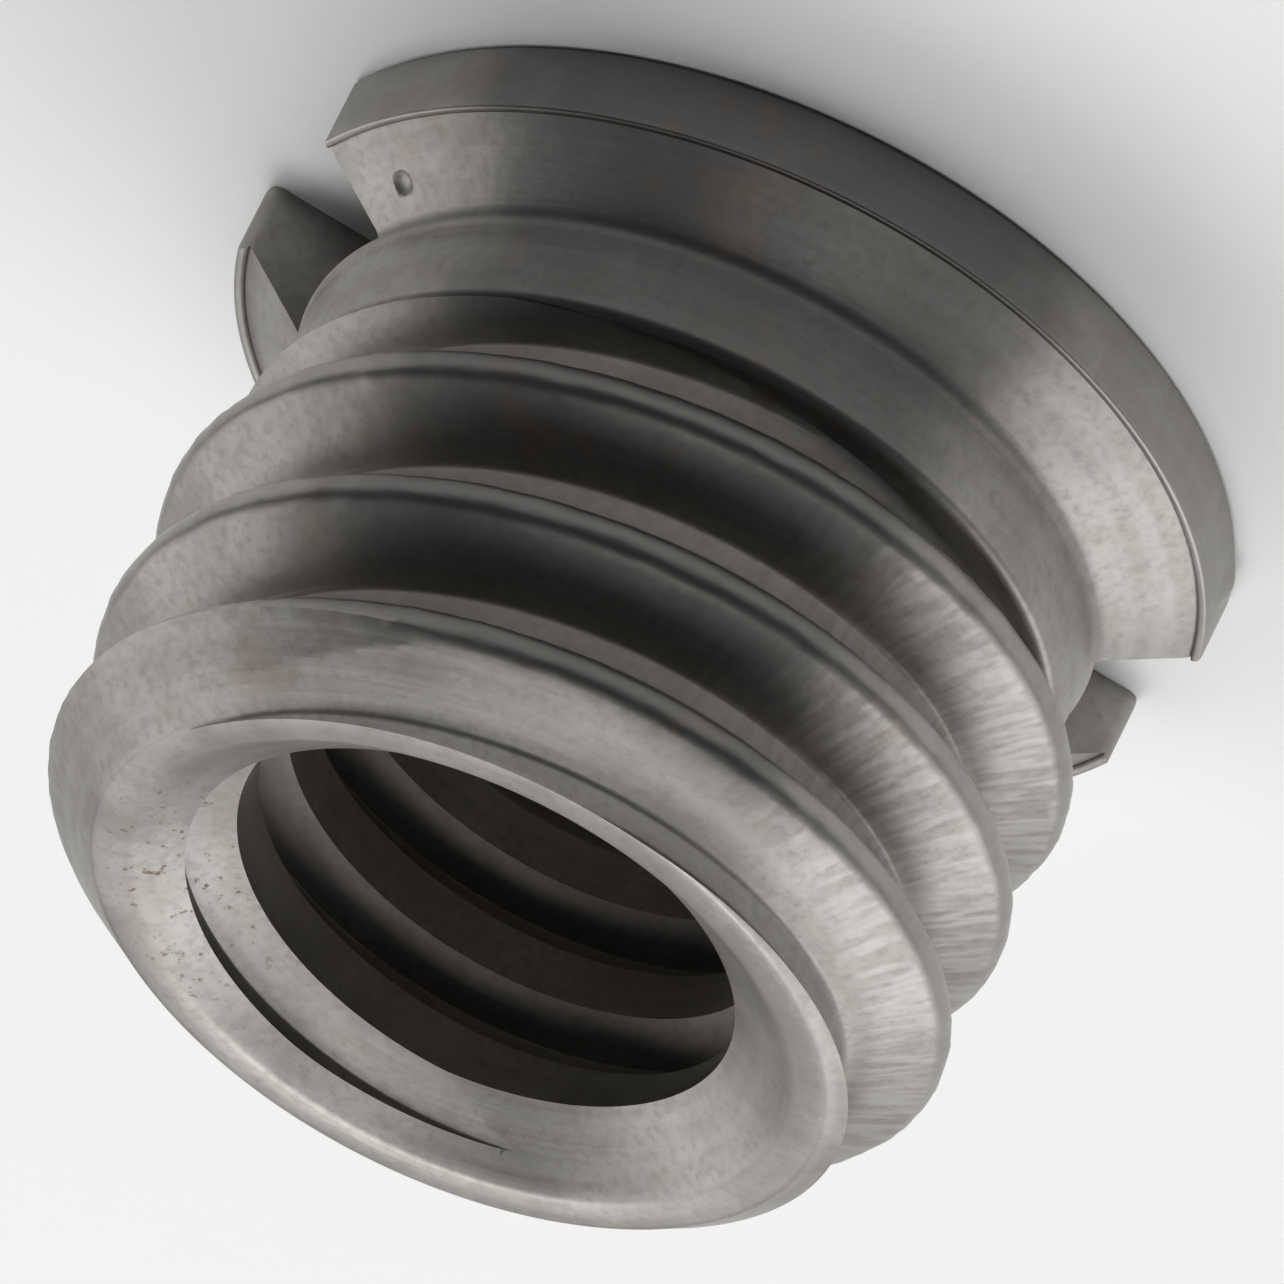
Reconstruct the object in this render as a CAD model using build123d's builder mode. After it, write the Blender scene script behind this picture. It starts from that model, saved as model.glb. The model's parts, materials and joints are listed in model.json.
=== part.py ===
from build123d import *
from math import radians, sqrt, tan
import os

# Flanged thread adapter: a slotted bushing with a 3/8-16 UNC thread outside
# and a 1/4-20 UNC tapped hole through it, turned from one bar of steel.
# Millimetres. The origin is the centre of the flange face, +Z runs along the
# hole to the open threaded end, and the screwdriver slot lies along X.

INCH = 25.4
HALF_FLANK_ANGLE = 30  # both threads are 60 degree vees
TOOL_OVERRUN = 0.10  # how far each thread tool starts clear of the metal

# flange and neck
overall_length = 7.55
flange_radius = 5.20
flange_edge = 0.82  # height of the flange's outer band
flange_rounding = 0.08
lip_width = 0.10  # turned lip left round the flange's underside
lip_height = 0.05
neck_radius = 4.25
neck_start = 1.40  # where the sloping underside meets the neck
neck_end = 2.45
neck_rounding = 0.25

# outer thread, a loose 3/8-16 UNC within that thread's own limits
outer_pitch = INCH / 16
outer_crest_radius = 4.70
outer_crest_flat = 0.27
outer_depth = 0.86
outer_crest_height = 3.05  # height of a crest's middle over the +X axis
end_rim_radius = 3.90
end_chamfer_height = 0.70

# tapped hole, a 1/4-20 UNC drilled large for an easy thread
inner_pitch = INCH / 20
bore_radius = 2.70
inner_root_radius = 3.19
inner_root_flat = 0.15
inner_root_height = -0.02  # height of a root's middle over the +X axis
mouth_radius = 3.52
countersink_half_angle = 55
flange_mouth_chamfer = 0.30

# screwdriver slot
slot_width = 2.30
slot_depth = 1.40
slot_corner_rounding = 0.15  # where the slot's walls meet the flange's rim

flank_slope = tan(radians(HALF_FLANK_ANGLE))
clear_radius = flange_radius + 1  # outside all the metal
countersink_depth = (mouth_radius - bore_radius) / tan(radians(countersink_half_angle))

# The rounding of the slot's corners nearly touches the flange's rim from inside,
# and crosses it at a shallow angle.
FLARE_SWEEP = 120
FLARE_CROSSING = 0.02
half_slot = slot_width / 2
flare_y = half_slot + slot_corner_rounding
flare_x = sqrt((flange_radius - slot_corner_rounding + FLARE_CROSSING) ** 2 - flare_y**2)

# The vee that the outer thread's tool cuts, from just outside the crests to the root.
outer_groove_half = (outer_pitch - outer_crest_flat) / 2
outer_mouth_half = outer_groove_half + TOOL_OVERRUN * flank_slope
outer_root_half = outer_groove_half - outer_depth * flank_slope
outer_root_radius = outer_crest_radius - outer_depth
outer_tool_start = outer_crest_height - 1.5 * outer_pitch
outer_turns = 5

with BuildPart() as outer_groove:
    with BuildLine() as outer_path:
        Helix(outer_pitch, outer_turns * outer_pitch, outer_crest_radius, center=(0, 0, outer_tool_start))
    with BuildSketch(Plane.XZ) as outer_vee:
        with BuildLine():
            Polyline(
                (outer_crest_radius + TOOL_OVERRUN, outer_tool_start - outer_mouth_half),
                (outer_root_radius, outer_tool_start - outer_root_half),
                (outer_root_radius, outer_tool_start + outer_root_half),
                (outer_crest_radius + TOOL_OVERRUN, outer_tool_start + outer_mouth_half),
                close=True,
            )
        make_face()
    sweep(path=outer_path.wires()[0], is_frenet=True)
    # keep the turns beside the thread length; the first ones would cut the neck
    split(bisect_by=Plane.XY.offset(neck_end - 3 * TOOL_OVERRUN), keep=Keep.TOP)

# The vee that the tap cuts, from just inside the bore to the root.
inner_root_half = inner_root_flat / 2
inner_mouth_half = inner_root_half + (inner_root_radius - bore_radius + TOOL_OVERRUN) * flank_slope
inner_tool_start = inner_root_height - inner_pitch
inner_turns = 8

with BuildPart() as inner_groove:
    with BuildLine() as inner_path:
        Helix(inner_pitch, inner_turns * inner_pitch, bore_radius, center=(0, 0, inner_tool_start))
    with BuildSketch(Plane.XZ) as inner_vee:
        with BuildLine():
            Polyline(
                (bore_radius - TOOL_OVERRUN, inner_tool_start - inner_mouth_half),
                (inner_root_radius, inner_tool_start - inner_root_half),
                (inner_root_radius, inner_tool_start + inner_root_half),
                (bore_radius - TOOL_OVERRUN, inner_tool_start + inner_mouth_half),
                close=True,
            )
        make_face()
    sweep(path=inner_path.wires()[0], is_frenet=True)

with BuildPart() as thread_adapter:
    # thread length: a plain rod, cut by the outer groove
    with BuildSketch(Plane.XZ) as rod:
        with Locations((outer_crest_radius / 2, (neck_end + overall_length) / 2)):
            Rectangle(outer_crest_radius, overall_length - neck_end)
    revolve(axis=Axis.Z)
    add(outer_groove.part, mode=Mode.SUBTRACT)

    # the open end is turned down to its rim, and the first crest to meet the neck
    with BuildSketch(Plane.XZ) as end_chamfer:
        with BuildLine():
            Polyline(
                (outer_crest_radius, overall_length - end_chamfer_height),
                (end_rim_radius, overall_length),
                (end_rim_radius, overall_length + 1),
                (clear_radius, overall_length + 1),
                (clear_radius, overall_length - end_chamfer_height),
                close=True,
            )
        make_face()
    revolve(axis=Axis.Z, mode=Mode.SUBTRACT)
    with BuildSketch(Plane.XZ) as neck_chamfer:
        with BuildLine():
            Polyline(
                (neck_radius, neck_end),
                (clear_radius, neck_end + clear_radius - neck_radius),
                (clear_radius, neck_end),
                close=True,
            )
        make_face()
    revolve(axis=Axis.Z, mode=Mode.SUBTRACT)

    # flange, sloping underside and plain neck
    with BuildSketch(Plane.XZ) as flange:
        with BuildLine():
            Polyline(
                (0, 0),
                (flange_radius, 0),
                (flange_radius, flange_edge),
                (flange_radius - lip_width, flange_edge),
                (flange_radius - lip_width, flange_edge - lip_height),
                (neck_radius, neck_start),
                (neck_radius, neck_end),
                (0, neck_end),
                close=True,
            )
        make_face()
        face_corner = flange.vertices().filter_by_position(Axis.X, flange_radius, flange_radius)
        fillet(face_corner.sort_by(Axis.Y)[0], flange_rounding)
        neck_corner = flange.vertices().filter_by_position(Axis.Y, neck_start, neck_start)
        fillet(neck_corner, neck_rounding)
    revolve(axis=Axis.Z)

    # Drilled hole, with its countersunk mouth and a small chamfer at the flange.
    # Its profile lies in YZ, so that its seam is clear of the thread tools' ends.
    with BuildSketch(Plane.YZ) as hole:
        with BuildLine():
            Polyline(
                (0, 0),
                (bore_radius + flange_mouth_chamfer, 0),
                (bore_radius, flange_mouth_chamfer),
                (bore_radius, overall_length - countersink_depth),
                (mouth_radius, overall_length),
                (0, overall_length),
                close=True,
            )
        make_face()
    revolve(axis=Axis.Z, mode=Mode.SUBTRACT)
    add(inner_groove.part, mode=Mode.SUBTRACT)

    # The slot runs right across the flange and down into the neck. Its walls flare
    # out in an arc at the rim, one quarter of its outline drawn and mirrored twice.
    with BuildSketch(Plane.XY) as slot:
        with BuildLine():
            slot_wall = Line((0, half_slot), (flare_x, half_slot))
            flare = CenterArc((flare_x, flare_y), slot_corner_rounding, -90, FLARE_SWEEP)
            Polyline(flare @ 1, (clear_radius, (flare @ 1).Y), (clear_radius, 0), (0, 0), slot_wall @ 0)
        make_face()
        mirror(about=Plane.XZ)
        mirror(about=Plane.YZ)
    extrude(amount=slot_depth, mode=Mode.SUBTRACT)

thread_adapter.part.label = "thread_adapter"

os.makedirs("parts", exist_ok=True)
export_step(thread_adapter.part, "parts/thread_adapter.step")
print("solids", len(thread_adapter.solids()), "volume", round(thread_adapter.part.volume, 2), "mm3")
print("outer groove", round(outer_groove.part.volume, 2), "inner groove", round(inner_groove.part.volume, 2))
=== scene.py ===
# %% [markdown]
# Thread adapter: a slotted steel bushing with a coarse thread outside and a
# tapped hole through it. The imported CAD model is loaded first. It is the frame
# that everything here is measured from, and the top of its box gives the height.

# %% Load the frame
import json
from math import cos, hypot, pi, radians, sin, sqrt, tan

import bmesh
import bpy
from mathutils import Matrix, Vector


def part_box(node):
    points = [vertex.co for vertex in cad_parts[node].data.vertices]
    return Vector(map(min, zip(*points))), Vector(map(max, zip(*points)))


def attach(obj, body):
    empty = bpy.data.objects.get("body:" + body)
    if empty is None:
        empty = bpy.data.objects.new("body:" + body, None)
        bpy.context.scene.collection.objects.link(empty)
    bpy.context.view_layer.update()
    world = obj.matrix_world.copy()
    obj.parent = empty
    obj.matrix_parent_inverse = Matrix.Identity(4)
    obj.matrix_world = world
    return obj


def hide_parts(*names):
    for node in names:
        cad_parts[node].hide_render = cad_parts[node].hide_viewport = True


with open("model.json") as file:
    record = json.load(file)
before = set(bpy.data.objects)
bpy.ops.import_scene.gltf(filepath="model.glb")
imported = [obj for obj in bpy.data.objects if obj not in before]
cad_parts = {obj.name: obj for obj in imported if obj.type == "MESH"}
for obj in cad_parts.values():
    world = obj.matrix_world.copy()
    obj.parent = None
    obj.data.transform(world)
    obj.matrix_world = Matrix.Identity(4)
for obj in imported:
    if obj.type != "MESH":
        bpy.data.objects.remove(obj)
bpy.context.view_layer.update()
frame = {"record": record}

MM = 0.001
NODE = "thread_adapter"
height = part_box(NODE)[1][2]
mounts = {m["name"]: m for m in frame["record"]["mounts"]}
crest_radius = mounts["three_eighths_thread"]["dims"]["r_mm"] * MM
bore_radius = mounts["quarter_inch_thread"]["dims"]["r_mm"] * MM
print("height", height, "crest radius", crest_radius, "bore radius", bore_radius)

# %% [markdown]
# The rest of the drawing is named here, in metres. Both threads are standard
# inch sizes: 16 turns to the inch outside and 20 inside, with 60 degree vees.
# The profiles are worked out from these, so one change moves what hangs on it.

# %% Driving sizes
INCH = 25.4 * MM
outer_pitch = INCH / 16
inner_pitch = INCH / 20
flank_slope = tan(radians(30))

flange_radius = 5.20 * MM
flange_edge = 0.82 * MM
lip_width = 0.10 * MM
lip_height = 0.05 * MM
neck_radius = 4.25 * MM
neck_start = 1.40 * MM
neck_end = 2.45 * MM

outer_crest_flat = 0.27 * MM
outer_depth = 0.86 * MM
outer_crest_height = 3.05 * MM  # middle of one crest, where the helix crosses +X
end_rim_radius = 3.90 * MM
end_chamfer = 0.70 * MM

inner_root_radius = 3.19 * MM
inner_root_flat = 0.15 * MM
inner_root_height = -0.02 * MM
mouth_radius = 3.52 * MM
mouth_slope = tan(radians(55))  # half of the countersink's angle
countersink_depth = (mouth_radius - bore_radius) / mouth_slope
flange_mouth_chamfer = 0.30 * MM

slot_width = 2.30 * MM
slot_depth = 1.40 * MM
slot_corner = 0.15 * MM  # rounding where the slot meets the flange's rim

outer_root_radius = crest_radius - outer_depth
outer_root_flat = outer_pitch - outer_crest_flat - 2 * outer_depth * flank_slope
print("turns of outer thread", round((height - neck_end) / outer_pitch, 2))
print("flat between outer teeth", round(outer_root_flat / MM, 3), "mm")

# %% [markdown]
# No corner of a real turned part is sharp, so corners are rounded with short
# arcs before a profile is drawn. A Bevel modifier could do it afterwards, but it
# would have to find the right edges among thousands. Long runs get points along
# them too, because long thin faces shade badly once two shapes are combined.

# %% Round and space a profile
def rounded(points, radii, steps=4):
    """Replace each corner that has a radius with a short arc."""
    line = []
    for i, (x, z) in enumerate(points):
        radius = radii.get(i, 0)
        if not radius:
            line.append((x, z))
            continue
        here = Vector((x, z))
        back = (Vector(points[i - 1]) - here).normalized()
        on = (Vector(points[(i + 1) % len(points)]) - here).normalized()
        half = back.angle(on) / 2
        middle = here + (back + on).normalized() * radius / sin(half)
        first = here + back * radius / tan(half)
        last = here + on * radius / tan(half)
        for k in range(steps + 1):
            spoke = (first - middle).lerp(last - middle, k / steps).normalized() * radius
            line.append(tuple(middle + spoke))
    return line


def spaced(points, longest):
    """Add points along straight runs, about this far apart."""
    line = [points[0]]
    for (x0, z0), (x1, z1) in zip(points, points[1:]):
        parts = max(1, round(hypot(x1 - x0, z1 - z0) / longest))
        line += [(x0 + (x1 - x0) * k / parts, z0 + (z1 - z0) * k / parts) for k in range(1, parts + 1)]
    return line


# %% [markdown]
# Work in Blender starts with nothing selected, because an operator acts on all
# that is. A profile is drawn the way it is by hand: one vertex, extruded from
# point to point in the plane through the axis.

# %% Select and draw
def nothing_selected():
    if bpy.context.object and bpy.context.object.mode != "OBJECT":
        bpy.ops.object.mode_set(mode="OBJECT")
    bpy.ops.object.select_all(action="DESELECT")


def pick(piece):
    nothing_selected()
    piece.select_set(True)
    bpy.context.view_layer.objects.active = piece


def draw_line(name, points):
    """One vertex, extruded from point to point."""
    nothing_selected()
    bpy.ops.mesh.primitive_plane_add(size=MM, location=(0, 0, 0))
    piece = bpy.context.object
    piece.name = piece.data.name = name
    bpy.ops.object.mode_set(mode="EDIT")
    bpy.ops.mesh.merge(type="CENTER")
    at = Vector((0, 0, 0))
    for k, point in enumerate(points):
        to = Vector(point)
        if k == 0:
            bpy.ops.transform.translate(value=to - at)
        else:
            bpy.ops.mesh.extrude_region_move(TRANSFORM_OT_translate={"value": to - at})
        at = to
    bpy.ops.object.mode_set(mode="OBJECT")
    print(name, "drawn with", len(points), "points")
    return piece


def draw_profile(name, points):
    """A line in the plane through the axis, from (radius, height) pairs."""
    return draw_line(name, [(x, 0, z) for x, z in points])


# %% [markdown]
# A lathe turns the work under the tool. The Screw modifier does the same to a
# profile: with no rise it makes a turned shape, and with a rise of one pitch it
# makes one turn of a thread. The last step of the turn meets the first, and the
# points that fall together there are welded.

# %% Sweep a profile round the axis
step_weld = 1e-7
seam_weld = 2e-7


def screw(piece, rise, steps):
    """Sweep the profile once round the axis, rising by one pitch or not at all."""
    pick(piece)
    turn = piece.modifiers.new("turn", "SCREW")
    turn.axis = "Z"
    turn.angle = 2 * pi
    turn.screw_offset = rise
    turn.steps = turn.render_steps = steps
    turn.use_merge_vertices = rise == 0
    turn.merge_threshold = step_weld
    bpy.ops.object.modifier_apply(modifier=turn.name)
    bpy.ops.object.mode_set(mode="EDIT")
    bpy.ops.mesh.select_all(action="SELECT")
    bpy.ops.mesh.remove_doubles(threshold=seam_weld)
    bpy.ops.mesh.normals_make_consistent(inside=False)
    bpy.ops.object.mode_set(mode="OBJECT")
    return piece


# %% [markdown]
# Closed pieces are sawn square with Bisect, and joined or cut with a Boolean
# modifier. Its Manifold solver is quick and keeps a closed piece closed, and the
# count of open edges after each step shows that it did.

# %% Saw, combine and measure
cut_weld = 1e-8


def cut_off(piece, z, keep_above):
    """Saw the piece square across the axis and close the cut."""
    pick(piece)
    bpy.ops.object.mode_set(mode="EDIT")
    bpy.ops.mesh.select_all(action="SELECT")
    bpy.ops.mesh.bisect(
        plane_co=(0, 0, z), plane_no=(0, 0, 1), use_fill=True,
        clear_inner=keep_above, clear_outer=not keep_above, threshold=cut_weld,
    )
    bpy.ops.object.mode_set(mode="OBJECT")


def combine(piece, other, how):
    """Join, cut or cross two closed pieces, and throw the second one away."""
    pick(piece)
    step = piece.modifiers.new(how, "BOOLEAN")
    step.operation = how
    step.solver = "MANIFOLD"
    step.object = other
    bpy.ops.object.modifier_apply(modifier=step.name)
    bpy.data.objects.remove(other)
    print(piece.name, how, len(piece.data.polygons), "faces")


def measure(piece):
    """Print how many edges are open and how much metal the piece holds."""
    shape = bmesh.new()
    shape.from_mesh(piece.data)
    open_count = sum(not e.is_manifold for e in shape.edges)
    volume = shape.calc_volume()
    shape.free()
    print(piece.name, "open edges", open_count, "volume", round(volume * 1e9, 2), "mm3")


# %% [markdown]
# The outer thread is a rod whose section is a row of teeth. One tooth could be
# swept along a helix, but its ends would have to be closed by hand. Here one
# turn that rises by one pitch makes each tooth end where the next begins, so
# the seam welds shut and the whole thread is one clean helix.

# %% Threaded rod
def thread_profile(
    pitch, crest_r, root_r, crest_flat, root_flat, lowest_crest, turns, crest_round, root_round, fine
):
    """Teeth from below to above: root, flank, crest, flank, for each turn."""
    line = []
    run = (pitch - crest_flat - root_flat) / 2
    for k in range(turns):
        z = lowest_crest + k * pitch
        line.append((root_r, z - crest_flat / 2 - run))
        line.append((crest_r, z - crest_flat / 2))
        line.append((crest_r, z + crest_flat / 2))
        line.append((root_r, z + crest_flat / 2 + run))
    radii = {}
    for k in range(turns):
        radii[4 * k + 1] = radii[4 * k + 2] = crest_round
        if k:
            radii[4 * k] = root_round
        if k < turns - 1:
            radii[4 * k + 3] = root_round
    return spaced(rounded(line, radii, steps=3), fine)


outer_fine = 0.09 * MM  # spacing of points on all the outside shapes
round_steps = 300  # faces round the outside
rod_below = 0.4 * MM
rod_above = 0.3 * MM
rod_line = thread_profile(
    outer_pitch, crest_radius, outer_root_radius, outer_crest_flat, outer_root_flat,
    lowest_crest=outer_crest_height - 3 * outer_pitch, turns=8,
    crest_round=0.20 * MM, root_round=0.10 * MM, fine=outer_fine,
)
rod = screw(draw_profile("threaded_rod", rod_line), outer_pitch, round_steps)
cut_off(rod, neck_end - rod_below, keep_above=True)
cut_off(rod, height + rod_above, keep_above=False)
measure(rod)

# %% [markdown]
# On the real part a threading tool runs in from the open end and stops at the
# neck. Here the rod is crossed with a turned envelope instead, which gives the
# thread its start against the neck and the wide chamfer at the open end. The
# envelope stands a little proud of the crests, so it shapes only the two ends.

# %% Thread length
proud = 0.05 * MM
sunk = 0.002 * MM  # the thread starts this far inside the neck, so the two weld
core_length = 0.2 * MM  # a thinner core goes further in
core_radius = outer_root_radius - 0.25 * MM
start_z = neck_end - sunk
chamfer_run = end_chamfer / (crest_radius - end_rim_radius)
end_rounding = 0.10 * MM
envelope_line = rounded(
    [
        (0, start_z - core_length),
        (core_radius, start_z - core_length),
        (core_radius, start_z),
        (neck_radius, start_z),
        (crest_radius + proud, start_z + crest_radius + proud - neck_radius),
        (crest_radius + proud, height - end_chamfer - proud * chamfer_run),
        (end_rim_radius, height),
        (0, height),
    ],
    {4: end_rounding, 6: end_rounding},
)
envelope_line = envelope_line[:4] + spaced(envelope_line[4:-1], outer_fine) + envelope_line[-1:]
envelope = screw(draw_profile("envelope", envelope_line), 0, round_steps)
combine(rod, envelope, "INTERSECT")
measure(rod)

# %% [markdown]
# The flange, its sloping underside and the neck are one turned shape. A thin
# lip is left round the underside where the turning tool stopped. Drawing them
# as one profile keeps the lip and the rounded foot of the neck in one line.

# %% Flange and neck
rim_rounding = 0.08 * MM
lip_rounding = 0.035 * MM
neck_foot_rounding = 0.25 * MM
neck_end_rounding = 0.12 * MM
base_corners = rounded(
    [
        (0, 0),
        (flange_radius, 0),
        (flange_radius, flange_edge),
        (flange_radius - lip_width, flange_edge),
        (flange_radius - lip_width, flange_edge - lip_height),
        (neck_radius, neck_start),
        (neck_radius, neck_end),
        (0, neck_end),
    ],
    {1: rim_rounding, 2: lip_rounding, 3: lip_rounding, 5: neck_foot_rounding, 6: neck_end_rounding},
)
base_line = base_corners[:2] + spaced(base_corners[1:-1], outer_fine)[1:] + base_corners[-1:]
adapter = screw(draw_profile("adapter_body", base_line), 0, round_steps)
combine(adapter, rod, "UNION")
measure(adapter)

# %% [markdown]
# The hole goes right through, with a small chamfer at the flange and a wide
# countersink at the mouth. It could be cut in three steps, but one turned cutter
# does all of it, as a shaped drill would. It reaches past both faces, so that no
# cut lies exactly on a face.

# %% Drilled hole
beyond = 0.2 * MM
edge_break = 0.04 * MM
hole_fine = 0.12 * MM  # spacing of points inside the hole
drill_steps = 240
drill_line = [
    (0, -beyond),
    (bore_radius + flange_mouth_chamfer + beyond, -beyond),
    (bore_radius, flange_mouth_chamfer),
    (bore_radius, height - countersink_depth),
    (mouth_radius - edge_break, height - edge_break / mouth_slope),
    (mouth_radius + 2 * edge_break, height + edge_break / 2),
    (0, height + edge_break / 2),
]
drill_line = drill_line[:1] + spaced(drill_line[1:-1], hole_fine) + drill_line[-1:]
drill = screw(draw_profile("drill", drill_line), 0, drill_steps)
combine(adapter, drill, "DIFFERENCE")
measure(adapter)

# %% [markdown]
# A tap cuts the thread in the hole. Here a second threaded rod does it, cut out
# of the piece as the drill was. The rod's core is thinner than the drilled hole,
# so only its teeth cut, and the wall of the drilled hole is left between them.

# %% Tapped hole
tap_steps = 200
tap_core_radius = bore_radius - 0.15 * MM
tap_core_flat = inner_pitch - inner_root_flat - 2 * (inner_root_radius - tap_core_radius) * flank_slope
tap_line = thread_profile(
    inner_pitch, inner_root_radius, tap_core_radius, inner_root_flat, tap_core_flat,
    lowest_crest=inner_root_height - 2 * inner_pitch, turns=10,
    crest_round=0.03 * MM, root_round=0, fine=hole_fine,
)
tap = screw(draw_profile("tap", tap_line), inner_pitch, tap_steps)
cut_off(tap, -beyond, keep_above=True)
cut_off(tap, height + beyond, keep_above=False)
combine(adapter, tap, "DIFFERENCE")
measure(adapter)

# %% [markdown]
# The screwdriver slot is sawn straight across the flange, and its corners at
# the rim are rounded off. A bevel would have to find those four corners, so the
# cutter's own outline is drawn on the flat, filled and pulled up. Each of its
# walls flares out in an arc where it leaves the metal.

# %% Slot
half_slot = slot_width / 2
flare_y = half_slot + slot_corner
past_rim = 0.02 * MM
arc_end = 120  # degrees
arc_step = 10
flare_x = sqrt((flange_radius - slot_corner + past_rim) ** 2 - flare_y**2)
flare = [
    (flare_x + slot_corner * sin(radians(turned)), flare_y - slot_corner * cos(radians(turned)))
    for turned in range(0, arc_end + 1, arc_step)
]
saw_reach = 1.3 * flange_radius
quarter = flare + [(saw_reach, flare[-1][1])]
outline = quarter + [(x, -y) for x, y in reversed(quarter)]
outline += [(-x, -y) for x, y in quarter] + [(-x, y) for x, y in reversed(quarter)]
below = -0.5 * MM
saw = draw_line("saw", [(x, y, below) for x, y in outline])
bpy.ops.object.mode_set(mode="EDIT")
bpy.ops.mesh.select_all(action="SELECT")
bpy.ops.mesh.edge_face_add()
bpy.ops.mesh.extrude_region_move(TRANSFORM_OT_translate={"value": (0, 0, slot_depth - below)})
bpy.ops.mesh.select_all(action="SELECT")
bpy.ops.mesh.normals_make_consistent(inside=False)
bpy.ops.object.mode_set(mode="OBJECT")
measure(saw)
combine(adapter, saw, "DIFFERENCE")
measure(adapter)

# %% [markdown]
# The thread tool tore the crests a little. This could be bump, but it shows on
# the outline, so the metal itself is moved: a Displace modifier pushes the
# crests in and out, and a vertex group keeps it away from everything else.

# %% Torn crests
torn_depth = 0.22 * MM  # below the crest
torn_fade = 0.18 * MM
smooth_end = 0.2 * MM
torn = adapter.vertex_groups.new(name="torn")
for point in adapter.data.vertices:
    out = hypot(point.co.x, point.co.y)
    if neck_end < point.co.z < height - smooth_end and out > crest_radius - torn_depth:
        torn.add([point.index], min(1.0, (out - crest_radius + torn_depth) / torn_fade), "REPLACE")

tears = bpy.data.textures.new("tears", "CLOUDS")
tears.noise_scale = 0.25 * MM
tears.noise_depth = 3
pick(adapter)
tear = adapter.modifiers.new("tear", "DISPLACE")
tear.texture = tears
tear.texture_coords = "LOCAL"
tear.vertex_group = "torn"
tear.direction = "NORMAL"
tear.mid_level = 0.55
tear.strength = 0.035 * MM
bpy.ops.object.modifier_apply(modifier=tear.name)
measure(adapter)

# %% [markdown]
# Something dented the flange's sloping underside, and the saw left a burr near
# one corner of the slot. The dent is a shallow cut with a small ball. The burr
# is a few of the rim's points pulled outwards, which a soft brush would do too.

# %% Dent and burr
def on_ring(radius, azimuth, z):
    return Vector((radius * cos(radians(azimuth)), radius * sin(radians(azimuth)), z))


nothing_selected()
dent_at = on_ring(radius=4.74 * MM, azimuth=156.7, z=1.30 * MM)
bpy.ops.mesh.primitive_ico_sphere_add(subdivisions=5, radius=0.25 * MM, location=dent_at)
dent = bpy.context.object
dent.name = "dent"
bpy.ops.object.transform_apply(location=True, rotation=True, scale=True)
combine(adapter, dent, "DIFFERENCE")

burr_at = on_ring(radius=flange_radius, azimuth=20.8, z=0.26 * MM)
burr_reach = 0.22 * MM
burr_height = 0.07 * MM
rim_skin = 0.05 * MM
raised = 0
for point in adapter.data.vertices:
    near = (point.co - burr_at).length / burr_reach
    if near < 1 and hypot(point.co.x, point.co.y) > flange_radius - rim_skin:
        point.co += burr_at.normalized() * burr_height * (1 - near**2)
        raised += 1
print("burr points", raised)
measure(adapter)

# %% [markdown]
# The turned surfaces are smooth and their corners crisp, so faces are shaded
# smooth only where they meet at a small angle. Then the piece is handed over: it
# stands for the CAD node, which is hidden, and moves with its body.

# %% Finish the piece
last_weld = 3e-7
pick(adapter)
bpy.ops.object.mode_set(mode="EDIT")
bpy.ops.mesh.select_all(action="SELECT")
bpy.ops.mesh.remove_doubles(threshold=last_weld)
bpy.ops.object.mode_set(mode="OBJECT")
bpy.ops.object.shade_smooth_by_angle(angle=radians(35))
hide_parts(NODE)
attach(adapter, "root")
measure(adapter)

# %% [markdown]
# Materials are written as small sums. Nodes could be placed and joined one at a
# time, but then a mask is hard to read. A wrapped socket adds a Math node each
# time that it meets an operator, so a mask reads like arithmetic.

# %% Sums with sockets
class Wire:
    """A socket that can be added to, scaled and compared."""

    def __init__(self, paint, socket):
        self.paint = paint
        self.socket = socket

    def beside(self, name):
        """Another output of the node that this socket is on."""
        return Wire(self.paint, self.socket.node.outputs[name])

    def maths(self, operation, *values):
        return self.paint.node("ShaderNodeMath", {"operation": operation}, dict(enumerate(values)))

    def __add__(self, other):
        return self.maths("ADD", self, other)

    def __radd__(self, other):
        return self.maths("ADD", other, self)

    def __sub__(self, other):
        return self.maths("SUBTRACT", self, other)

    def __rsub__(self, other):
        return self.maths("SUBTRACT", other, self)

    def __mul__(self, other):
        return self.maths("MULTIPLY", self, other)

    def __rmul__(self, other):
        return self.maths("MULTIPLY", other, self)

    def __truediv__(self, other):
        return self.maths("DIVIDE", self, other)

    def root(self):
        return self.maths("SQRT", self)

    def larger(self, other):
        return self.maths("MAXIMUM", self, other)

    def angle_from(self, other):
        """The angle of the point (other, self), all the way round."""
        return self.maths("ARCTAN2", self, other)

    def band(self, start, end):
        """0 below start, 1 above end, and smooth between."""
        return self.paint.node(
            "ShaderNodeMapRange", {"interpolation_type": "SMOOTHSTEP"},
            {"Value": self, "From Min": start, "From Max": end},
        )


# %% [markdown]
# A material and the world both hold a tree of nodes that ends in a shader. One
# small class adds a node to either, with its settings set first and then the
# values or links of its sockets.

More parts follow.
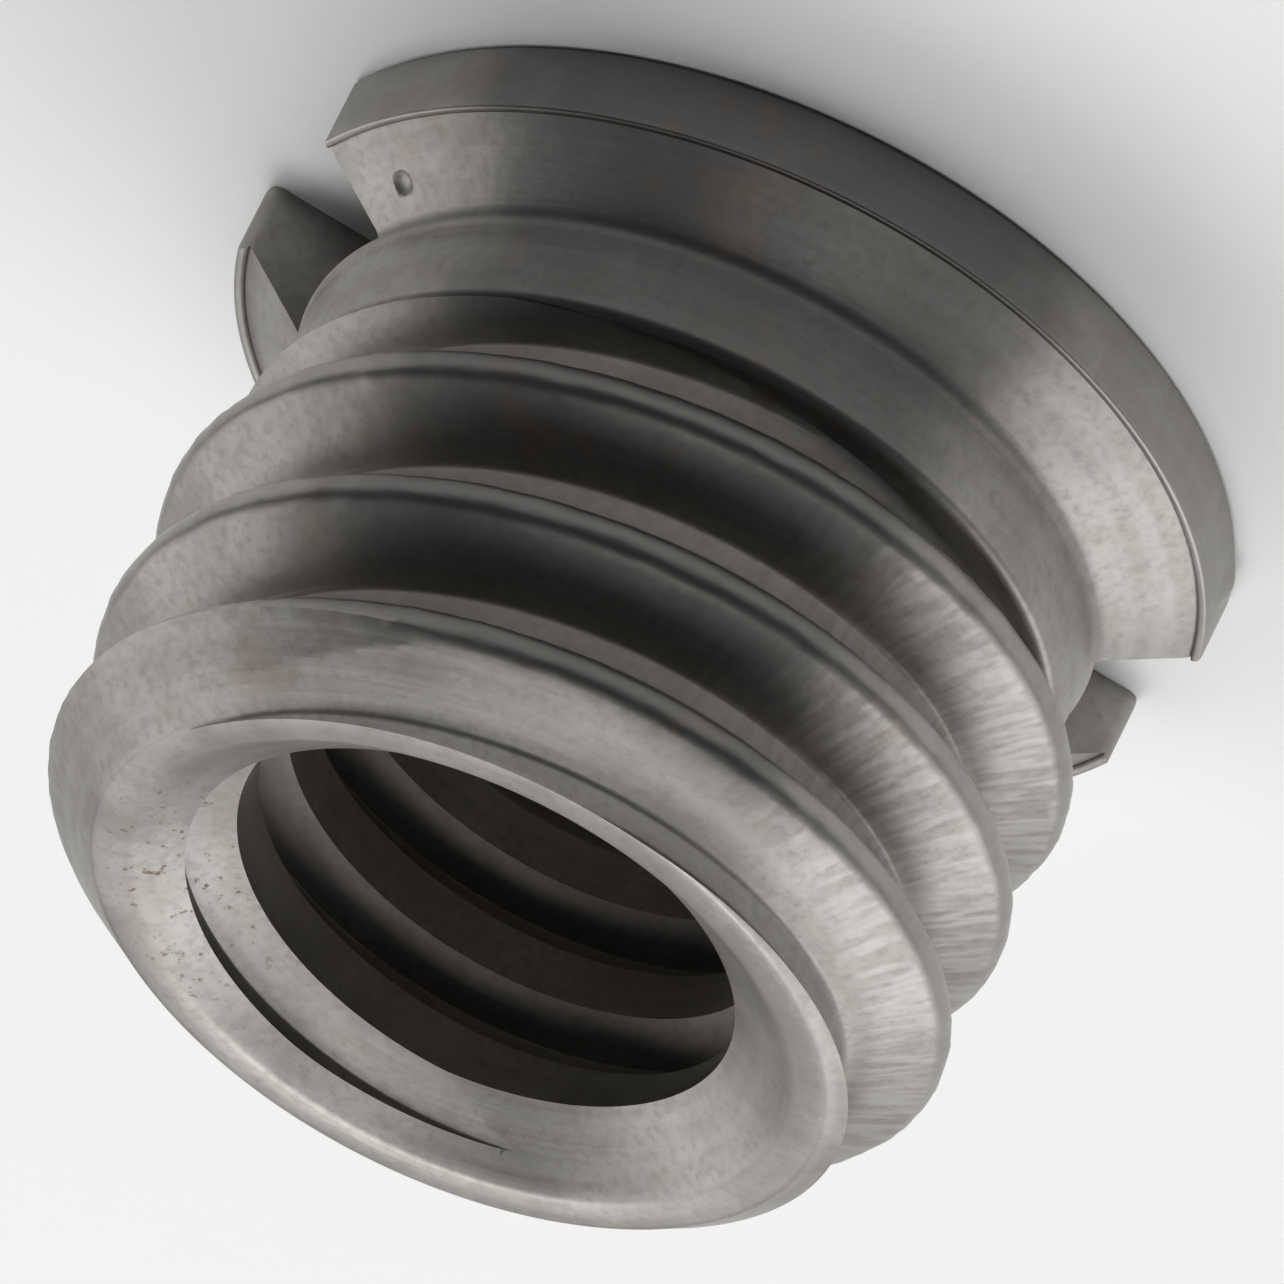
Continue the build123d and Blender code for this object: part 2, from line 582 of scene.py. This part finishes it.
# %% A tree of nodes
class Paint:
    """The node tree of a material or of the world, and the shader it ends in."""

    def __init__(self, owner, shader_type):
        owner.use_nodes = True
        self.owner = owner
        self.nodes = owner.node_tree.nodes
        self.links = owner.node_tree.links
        self.shader = next(n for n in self.nodes if n.type == shader_type)

    def node(self, kind, settings=None, values=None, out=0):
        made = self.nodes.new(kind)
        for key, setting in (settings or {}).items():
            setattr(made, key, setting)
        for key, value in (values or {}).items():
            self.put(made, key, value)
        return Wire(self, made.outputs[out])

    def put(self, node, key, value):
        if isinstance(value, Wire):
            self.links.new(value.socket, node.inputs[key])
        else:
            node.inputs[key].default_value = value

    def mix(self, factor, first, second):
        return self.node("ShaderNodeMix", {"data_type": "RGBA"}, {0: factor, 6: first, 7: second}, out=2)


def grey(value, warmth=0.0):
    return (value * (1 + warmth), value, value * (1 - 1.4 * warmth), 1)


# %% [markdown]
# The finish is bare turned steel with a thin grey oxide. It could be one flat
# metal colour, but a real turned part shows where each tool went. So the
# position on the piece is turned into distance from the axis, height and the
# way round, and each mark is laid along the direction that its tool moved.

# %% Where a point is on the piece
steel = Paint(bpy.data.materials.new("bare_steel"), "BSDF_PRINCIPLED")
place = steel.node("ShaderNodeTexCoord", out="Object")
x = steel.node("ShaderNodeSeparateXYZ", {}, {"Vector": place}, out="X")
y = x.beside("Y")
z = x.beside("Z")
from_axis_out = (x * x + y * y).root()
arc = y.angle_from(x) * crest_radius


def noise_over(vector, feature, detail=3.0, roughness=0.55):
    """Noise whose lumps are about this size, in metres."""
    return steel.node(
        "ShaderNodeTexNoise", {},
        {"Vector": vector, "Scale": 1 / feature, "Detail": detail, "Roughness": roughness},
    )


def joined(a, b, c):
    return steel.node("ShaderNodeCombineXYZ", {}, {"X": a, "Y": b, "Z": c}, out="Vector")


def facing(azimuth, half_width):
    """1 on the side of the piece that faces this way, fading to 0 round from it."""
    toward_it = radians(azimuth)
    edge = radians(half_width)
    along_it = (x * cos(toward_it) + y * sin(toward_it)) / from_axis_out
    return along_it.band(cos(edge), cos(edge / 3))


print("nodes so far", len(steel.nodes))

# %% [markdown]
# Masks say which part of the surface a mark or a stain lies on. Each is 1 on its
# own part of the piece and fades to 0 at the edge, so that no finish ends in a
# line. They could be painted by hand, but a mask made from sizes fits exactly.

# %% Parts of the surface
chamfer_start = height - end_chamfer
above_neck = z.band(neck_end, neck_end + 0.3 * MM)
before_chamfer = 1 - z.band(chamfer_start - 0.05 * MM, chamfer_start + 0.10 * MM)
outside_core = from_axis_out.band(outer_root_radius - 0.14 * MM, outer_root_radius + 0.06 * MM)
thread_zone = above_neck * before_chamfer * outside_core
on_crest = from_axis_out.band(crest_radius - 0.10 * MM, crest_radius - 0.02 * MM)
flanks = thread_zone * (1 - on_crest)
on_rim = from_axis_out.band(flange_radius - 0.10 * MM, flange_radius)
roots = thread_zone * (1 - from_axis_out.band(outer_root_radius, outer_root_radius + 0.4 * MM))
inside = 1 - from_axis_out.band(inner_root_radius - 0.10 * MM, inner_root_radius + 0.12 * MM)
deep = inside * (1 - z.band(height - 1.3 * MM, height - 0.4 * MM))
outside = from_axis_out.band(inner_root_radius + 0.6 * MM, inner_root_radius + 0.9 * MM)
mouth_zone = z.band(height - 1.0 * MM, height - 0.7 * MM)
mouth_zone = mouth_zone * (1 - from_axis_out.band(end_rim_radius - 0.3 * MM, end_rim_radius))
print("nodes so far", len(steel.nodes))

# %% [markdown]
# The tool marks. Turning leaves fine rings on the flange, neck, chamfers and
# rim. The thread tool chattered on one side, which left short ridges across the
# flanks there, and all of the steel has a slightly torn grain. Rings are noise
# that hardly changes on the way round, and ridges are noise that changes slowly
# up and down. A Wave texture would draw them too evenly.

# %% Tool marks
ring_drift = 0.03  # how fast the fine rings change on the way round
broad_drift = 0.04
ridge_drift = 0.22  # how fast the ridges change along their length
turning = noise_over(joined(from_axis_out, (x + y) * ring_drift, z), 0.07 * MM, detail=2.0)
broad_turning = noise_over(joined(from_axis_out, (x + y) * broad_drift, z), 0.28 * MM, detail=2.0)
chatter = noise_over(joined(arc, from_axis_out * ridge_drift, z * ridge_drift), 0.15 * MM, detail=1.0)
chatter_here = flanks * facing(azimuth=30, half_width=85)
grain = noise_over(place, 0.11 * MM, detail=4.0, roughness=0.6)
fine_grain = noise_over(place, 0.035 * MM, detail=3.0, roughness=0.6)
patches = noise_over(place, 0.9 * MM)
print("nodes so far", len(steel.nodes))

# %% [markdown]
# Steel that has lain about is rubbed lighter on the crests and the rim. The side
# nearest the camera is darkened in the colour, a painted dark reflection, and there
# are a few brown stains, and specks of rust have started inside the mouth. Smooth
# edges would look sprayed on, so noise breaks up the edge of each.

# %% Wear, a painted dark reflection and rust
rim_wear = 0.6
raggedness = 0.9
rubbed = (thread_zone * on_crest).larger(on_rim * rim_wear) * grain.band(0.30, 0.62)
# Painted dark reflection: the side nearest the camera is darkened in the colour, with a ragged edge.
painted_reflection_edge = noise_over(place, 1.1 * MM, detail=4.0, roughness=0.6)
painted_dark_reflection = (facing(azimuth=107, half_width=52) + raggedness * (painted_reflection_edge - 0.5)).band(0.25, 0.95)
painted_dark_reflection = painted_dark_reflection * outside * (1 - z.band(chamfer_start - 0.15 * MM, chamfer_start + 0.15 * MM))
brown_stain = noise_over(place, 1.6 * MM, detail=4.0, roughness=0.65).band(0.56, 0.74)
rust = noise_over(place, 0.13 * MM, detail=3.0, roughness=0.6).band(0.60, 0.70)
rust = rust * mouth_zone * facing(azimuth=207, half_width=45)
print("nodes so far", len(steel.nodes))

# %% [markdown]
# The colour is built up in coats over a patchy grey. Each coat has a mask for
# where it lies, a strength and a colour. Mixing them one over another, as paint
# is laid, lets one coat be changed without upsetting the rest.

# %% Steel colours
coats = [
    ("pits in the grain", grain.band(0.42, 0.75), 0.55, grey(0.21, 0.05)),
    ("bright rings", broad_turning.band(0.40, 0.75) * (1 - thread_zone), 0.35, grey(0.42, 0.02)),
    ("bright ridges", chatter.band(0.40, 0.62) * chatter_here, 0.50, grey(0.44, 0.02)),
    ("rubbed metal", rubbed, 0.35, grey(0.38, 0.03)),
    ("dark roots", roots, 0.55, grey(0.12, 0.12)),
    ("deep in the hole", deep, 0.30, (0.20, 0.165, 0.14, 1)),
    # painted dark reflection on the side nearest the camera
    ("painted_dark_reflection", painted_dark_reflection, 0.75, grey(0.11, 0.03)),
    ("brown stain", brown_stain, 0.35, (0.27, 0.19, 0.14, 1)),
    ("rust", rust, 0.60, (0.13, 0.055, 0.025, 1)),
]
base = steel.mix(patches.band(0.35, 0.68), grey(0.27, 0.05), grey(0.34, 0.04))
for coat, mask, strength, colour in coats:
    base = steel.mix(mask * strength, base, colour)
    print("coat", coat, "strength", strength)
steel.put(steel.shader, "Base Color", base)
steel.put(steel.shader, "Metallic", 1.0)

# %% [markdown]
# The gloss. Rubbed steel is shinier, and rust and the steel deep in the hole are
# duller, so the roughness starts from one value and each mask adds or takes a
# little. The relief of grain, rings and ridges is a few thousandths of a
# millimetre high, too fine for the mesh, so it is bump.

# %% Steel gloss and relief
roughness = 0.37 + 0.10 * grain + 0.08 * patches
roughness = roughness + 0.18 * deep + 0.15 * rust - 0.06 * rubbed
steel.put(steel.shader, "Roughness", roughness)

# Heights are in millimetres: the Bump node's distance makes them metres.
relief = 0.0022 * grain + 0.0007 * fine_grain
relief = relief + 0.0016 * turning * (1 - flanks) + 0.0050 * broad_turning * (1 - thread_zone)
relief = relief + 0.0075 * chatter * chatter_here
bumps = steel.node(
    "ShaderNodeBump", {}, {"Strength": 1.0, "Distance": MM, "Height": relief}, out="Normal"
)
steel.put(steel.shader, "Normal", bumps)
adapter.data.materials.clear()
adapter.data.materials.append(steel.owner)
print("steel has", len(steel.nodes), "nodes")

# %% [markdown]
# The camera looks down on the open end from a third of a metre away, and is
# rolled so that the adapter lies across the view with its mouth low down. It
# could be turned by hand until it looks right. Angles measured from the hole's
# axis say the same thing in three numbers, so they are used here.

# %% Camera
from_axis = radians(58.0)  # between the hole's axis and the line of sight
near_side = radians(97.6)  # the side of the adapter that faces the camera
roll = radians(26.6)  # the axis leans this far from the view's upright
distance = 330 * MM
frame_width = 12.64 * MM
sensor_width = 36  # millimetres, as Blender gives it
middle = Vector((0, 0, 3.7 * MM))
aside = 0.16 * MM
toward_flange = 0.45 * MM
toward = Vector((sin(from_axis) * cos(near_side), sin(from_axis) * sin(near_side), cos(from_axis)))
across = Vector((sin(near_side), -cos(near_side), 0))
along = across.cross(toward)  # the hole's axis as the camera sees it, flange to mouth
right = across * cos(roll) - along * sin(roll)
up = -across * sin(roll) - along * cos(roll)
target = middle + across * aside - along * toward_flange
camera = bpy.data.objects.new("camera", bpy.data.cameras.new("camera"))
bpy.context.scene.collection.objects.link(camera)
turn = Matrix((right, up, toward)).transposed().to_4x4()
camera.matrix_world = Matrix.Translation(target + toward * distance) @ turn
camera.data.sensor_width = sensor_width
camera.data.lens = sensor_width * distance / frame_width
camera.data.clip_start = 10 * MM
bpy.context.scene.camera = camera
print("camera", tuple(round(v, 4) for v in camera.location), "lens", round(camera.data.lens))

# %% [markdown]
# The adapter stands on a plain pale floor. It is part of the stage and not of
# the adapter. A grid is enough, as long as its edge stays out of view.

# %% Floor
floor_size = 1.2
nothing_selected()
bpy.ops.mesh.primitive_grid_add(x_subdivisions=2, y_subdivisions=2, size=floor_size, location=(0, 0, 0))
floor = bpy.context.object
floor.name = "floor"
pale = Paint(bpy.data.materials.new("pale_floor"), "BSDF_PRINCIPLED")
pale.put(pale.shader, "Base Color", grey(0.93))
pale.put(pale.shader, "Roughness", 0.9)
floor.data.materials.append(pale.owner)
print("floor", floor_size, "m wide")

# %% [markdown]
# Bare metal shows whatever is around it, so an even white world would make it
# look like paper. The world here is dim all round and brighter on the side away
# from the camera, which leaves the near side of the metal dark.

# %% World
dim_sky = 0.06
bright_sky = 0.45
bpy.context.scene.view_settings.view_transform = "Standard"
sky = Paint(bpy.data.worlds.new("world"), "BACKGROUND")
bpy.context.scene.world = sky.owner
way = sky.node("ShaderNodeTexCoord", out="Generated")
bright_side = near_side - radians(150)
bright_way = (cos(bright_side), sin(bright_side), 0.3)
towards = sky.node("ShaderNodeVectorMath", {"operation": "DOT_PRODUCT"}, {0: way, 1: bright_way}, out="Value")
sky.put(sky.shader, "Color", grey(1))
sky.put(sky.shader, "Strength", dim_sky + bright_sky * towards.band(-0.3, 0.9))
print("world strength from", dim_sky, "to", dim_sky + bright_sky)

# %% [markdown]
# Four soft boxes light the metal as a small product table would. A lamp's power
# says little about how bright it looks in metal, so each is given its glow, the
# brightness of its face, and its power follows from its size.

# %% Soft boxes
lamp_distance = 0.3


def soft_box(name, to_the_right, elevation, size, glow):
    """A square lamp aimed at the adapter, placed by angles from the camera's side."""
    a, e = near_side - radians(to_the_right), radians(elevation)
    away = Vector((cos(a) * cos(e), sin(a) * cos(e), sin(e)))
    light = bpy.data.lights.new(name, "AREA")
    light.shape = "SQUARE"
    light.size = size
    light.energy = glow * pi * size**2
    holder = bpy.data.objects.new(name, light)
    bpy.context.scene.collection.objects.link(holder)
    holder.location = away * lamp_distance
    holder.rotation_euler = away.to_track_quat("Z", "Y").to_euler()
    print(name, "power", round(light.energy, 3), "W")


soft_box("right_soft", to_the_right=118, elevation=38, size=0.26, glow=1.9)
soft_box("back_soft", to_the_right=180, elevation=62, size=0.12, glow=5.5)
soft_box("top_soft", to_the_right=10, elevation=76, size=0.10, glow=2.5)
soft_box("left_soft", to_the_right=-125, elevation=34, size=0.20, glow=1.7)
